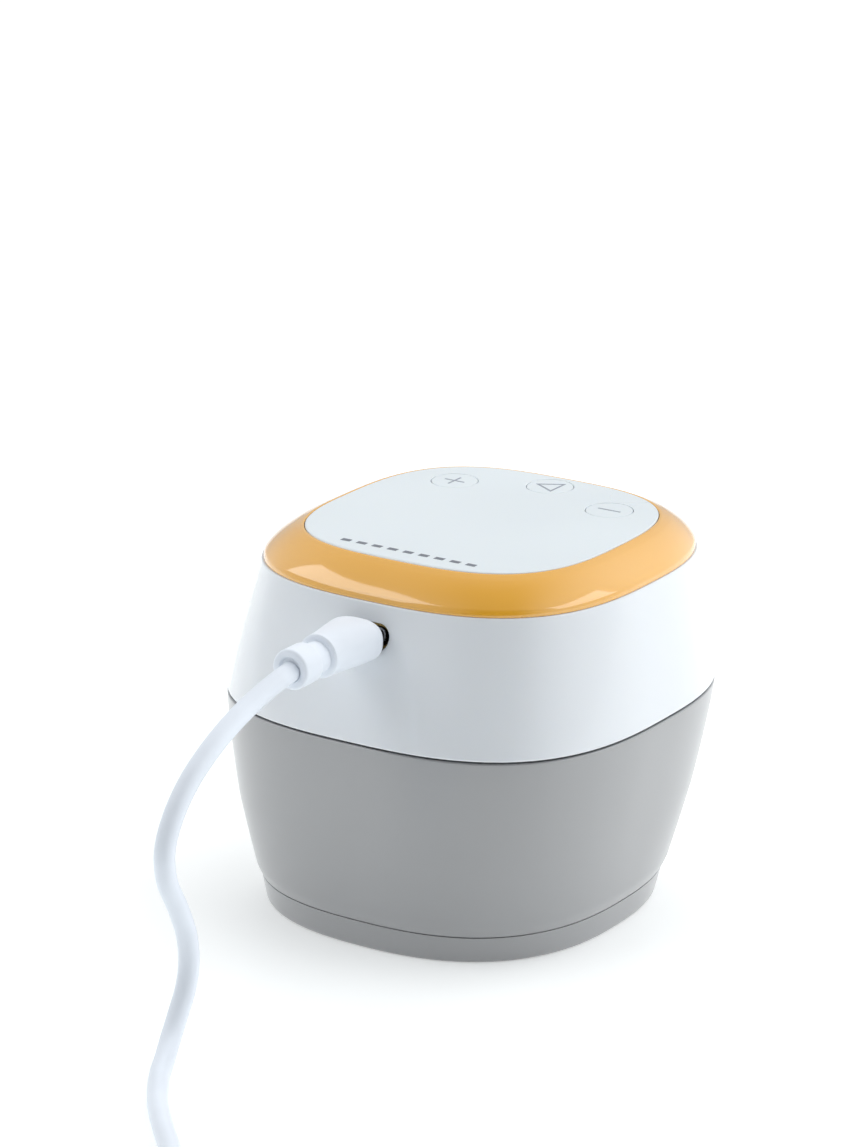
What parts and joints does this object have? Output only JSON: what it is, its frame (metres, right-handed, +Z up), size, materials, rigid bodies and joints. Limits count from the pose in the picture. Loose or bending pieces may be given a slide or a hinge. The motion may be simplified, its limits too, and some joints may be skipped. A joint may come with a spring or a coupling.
{
  "type": "breast pump",
  "caption": "Compact rechargeable breast pump motor unit: a rounded square casing with a keyed top panel, a suction tube port and a charging lead plugged into its rear wall.",
  "frame": {"origin": "centre of the casing's footprint box on the table, lead left out", "axes": "+Z up, +Y towards the rear wall with the charging port, +X to the user's right with the tube port"},
  "size_m": [0.0915, 0.2578, 0.0685],
  "materials": {
    "grey_casing": "satin soft-touch",
    "white_gloss": "gloss",
    "white_panel": "satin",
    "orange_gloss": "gloss",
    "lead_white": "satin soft vinyl",
    "rubber": "matte",
    "steel": "brushed",
    "dark_plastic": "matte",
    "natural_plastic": "satin",
    "brass": "machined",
    "copper": "enamelled windings",
    "board_green": "solder mask",
    "battery_wrap": "shrink film",
    "hose": "clear silicone"
  },
  "bodies": {
    "case": {"foot_ring": "grey_casing", "base_cover": "grey_casing", "lower_housing": "grey_casing", "seam_gasket": "rubber", "upper_housing": "white_gloss", "trim_ring": "orange_gloss", "face_panel": "white_panel", "switch_plus": "dark_plastic", "switch_minus": "dark_plastic", "switch_play": "dark_plastic", "case_screw_1": "steel", "case_screw_2": "steel", "case_screw_3": "steel", "case_screw_4": "steel", "tube_port": "white_gloss", "chassis": "natural_plastic", "battery": "battery_wrap", "motor_can": "steel", "motor_bell": "dark_plastic", "motor_magnets": "dark_plastic", "motor_damper": "rubber", "crankcase": "dark_plastic", "diaphragm": "rubber", "chamber_ring": "dark_plastic", "valve_plate": "natural_plastic", "inlet_flap": "rubber", "outlet_flap": "rubber", "pump_head": "dark_plastic", "head_screw_1": "steel", "head_screw_2": "steel", "valve_frame": "steel", "valve_coil": "copper", "valve_spring": "steel", "vacuum_hose": "hose", "release_hose": "hose", "control_board": "board_green", "controller_chip": "dark_plastic", "board_screw_1": "steel", "board_screw_2": "steel", "usb_socket": "steel"},
    "plus_key": {"key_plus": "white_panel"},
    "minus_key": {"key_minus": "white_panel"},
    "play_key": {"key_play": "white_panel"},
    "rotor": {"rotor_core": "copper", "motor_shaft": "steel", "eccentric": "brass"},
    "rod": {"connecting_rod": "natural_plastic", "crank_bearing": "steel", "diaphragm_disc": "steel", "diaphragm_screw": "steel"},
    "plunger": {"valve_plunger": "steel"},
    "lead": {"plug_overmold": "lead_white", "plug_shell": "steel", "plug_collar": "lead_white", "cord_tube": "lead_white", "cord_coil": "lead_white", "cord_tail": "lead_white", "charger_collar": "lead_white", "charger_grip": "lead_white", "charger_shell": "steel"}
  },
  "joints": [
    {"name": "plus_key_press", "type": "slide", "parent": "case", "child": "plus_key", "axis": [0, 0, -1], "range_m": [0, 0.00035], "stiffness_N_per_m": 1500, "springref_m": -0.0004},
    {"name": "minus_key_press", "type": "slide", "parent": "case", "child": "minus_key", "axis": [0, 0, -1], "range_m": [0, 0.00035], "stiffness_N_per_m": 1500, "springref_m": -0.0004},
    {"name": "play_key_press", "type": "slide", "parent": "case", "child": "play_key", "axis": [0, 0, -1], "range_m": [0, 0.00035], "stiffness_N_per_m": 1500, "springref_m": -0.0004},
    {"name": "rotor_spin", "type": "hinge", "parent": "case", "child": "rotor", "pos_m": [0, -0.0115, 0.024], "axis": [1, 0, 0], "continuous": true},
    {"name": "rod_turn", "type": "hinge", "parent": "rotor", "child": "rod", "pos_m": [0, -0.0115, 0.025], "axis": [1, 0, 0], "continuous": true, "deforming": ["diaphragm"]},
    {"name": "valve_lift", "type": "slide", "parent": "case", "child": "plunger", "axis": [0, 0, 1], "range_m": [0, 0.0009], "stiffness_N_per_m": 150, "springref_m": -0.002, "deforming": ["valve_spring"]},
    {"name": "plug_pull", "type": "slide", "parent": "case", "child": "lead", "axis": [0, 1, 0], "range_m": [0, 0.0066]}
  ],
  "couplings": [
    {"joint": "rod_turn", "follows": "rotor_spin", "ratio": -1}
  ]
}
